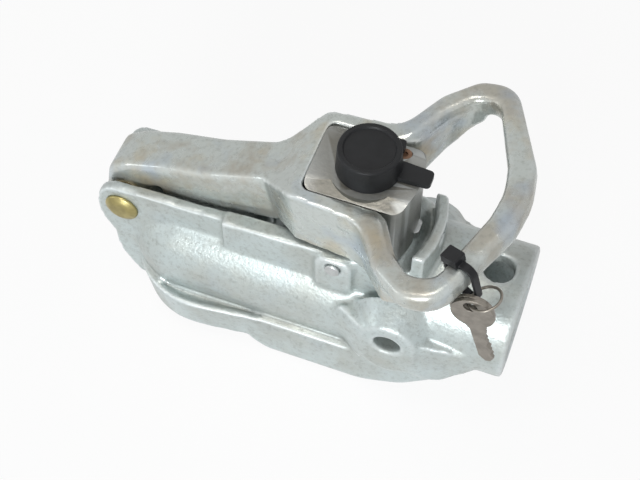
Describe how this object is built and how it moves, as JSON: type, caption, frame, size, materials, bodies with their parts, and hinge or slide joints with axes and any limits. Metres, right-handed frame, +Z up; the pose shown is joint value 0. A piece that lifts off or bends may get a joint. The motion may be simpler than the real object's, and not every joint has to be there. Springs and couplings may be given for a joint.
{
  "type": "trailer ball coupling",
  "caption": "Lockable trailer ball coupling with a cast body, a socket for the ball, a hinged loop-handle lever with a key lock, and a round sleeve for the drawbar",
  "frame": {"origin": "centre of the tow ball in the socket", "axes": "+X runs to the drawbar end, +Z is up, and the ball leaves downwards along -Z"},
  "size_m": [0.2095, 0.1208, 0.1453],
  "materials": {
    "bush_bronze": "plain bearing bush",
    "cap_black": "moulded black, matte",
    "cast_zinc": "zinc-plated steel casting, fine grain",
    "forged_zinc": "zinc-plated forging, smooth",
    "key_nickel": "nickel-plated flat steel",
    "lock_brass": "turned lock brass",
    "lock_die_cast": "die-cast housing, satin",
    "pin_steel": "plain zinc-plated steel",
    "pin_yellow": "yellow-passivated steel pin",
    "spring_steel": "spring steel wire",
    "tie_black": "black nylon"
  },
  "bodies": {
    "coupling": {"coupling_body": "cast_zinc", "lever_pin": "pin_yellow", "lever_pin_washer": "pin_steel", "jaw_pin": "pin_steel", "jaw_pin_clip": "spring_steel", "jaw_spring": "spring_steel"},
    "lever": {"handle_lever": "forged_zinc", "lever_bush": "bush_bronze", "lock_housing": "lock_die_cast", "bolt_cover": "pin_steel", "cover_screw": "pin_steel", "housing_screw_left": "pin_steel", "housing_screw_right": "pin_steel", "lock_cylinder": "lock_brass", "cable_tie": "tie_black", "key_ring": "key_nickel", "key_front": "key_nickel", "key_back": "key_nickel"},
    "plug": {"lock_plug": "lock_brass"},
    "bolt": {"lock_bolt": "pin_steel"},
    "cap": {"dust_cap": "cap_black"},
    "jaw": {"ball_jaw": "cast_zinc"}
  },
  "joints": [
    {"name": "lever_lift", "type": "hinge", "parent": "coupling", "child": "lever", "pos_m": [-0.0395, 0, 0.0497], "axis": [0, -1, 0], "range_deg": [0, 60]},
    {"name": "jaw_swing", "type": "hinge", "parent": "coupling", "child": "jaw", "pos_m": [0.071, 0, 0.0623], "axis": [0, -1, 0], "range_deg": [0, 7]},
    {"name": "plug_turn", "type": "hinge", "parent": "lever", "child": "plug", "pos_m": [0.078, 0, 0.1], "axis": [0, 0, -1], "range_deg": [0, 90]},
    {"name": "bolt_slide", "type": "slide", "parent": "lever", "child": "bolt", "axis": [1, 0, 0], "range_m": [0, 0.0094]},
    {"name": "cap_pull", "type": "slide", "parent": "lever", "child": "cap", "axis": [0, 0, 1], "range_m": [0, 0.015]}
  ],
  "couplings": [
    {"joint": "jaw_swing", "follows": "lever_lift", "ratio": 0.11667},
    {"joint": "bolt_slide", "follows": "plug_turn", "m_per_rad": 0.005984}
  ]
}
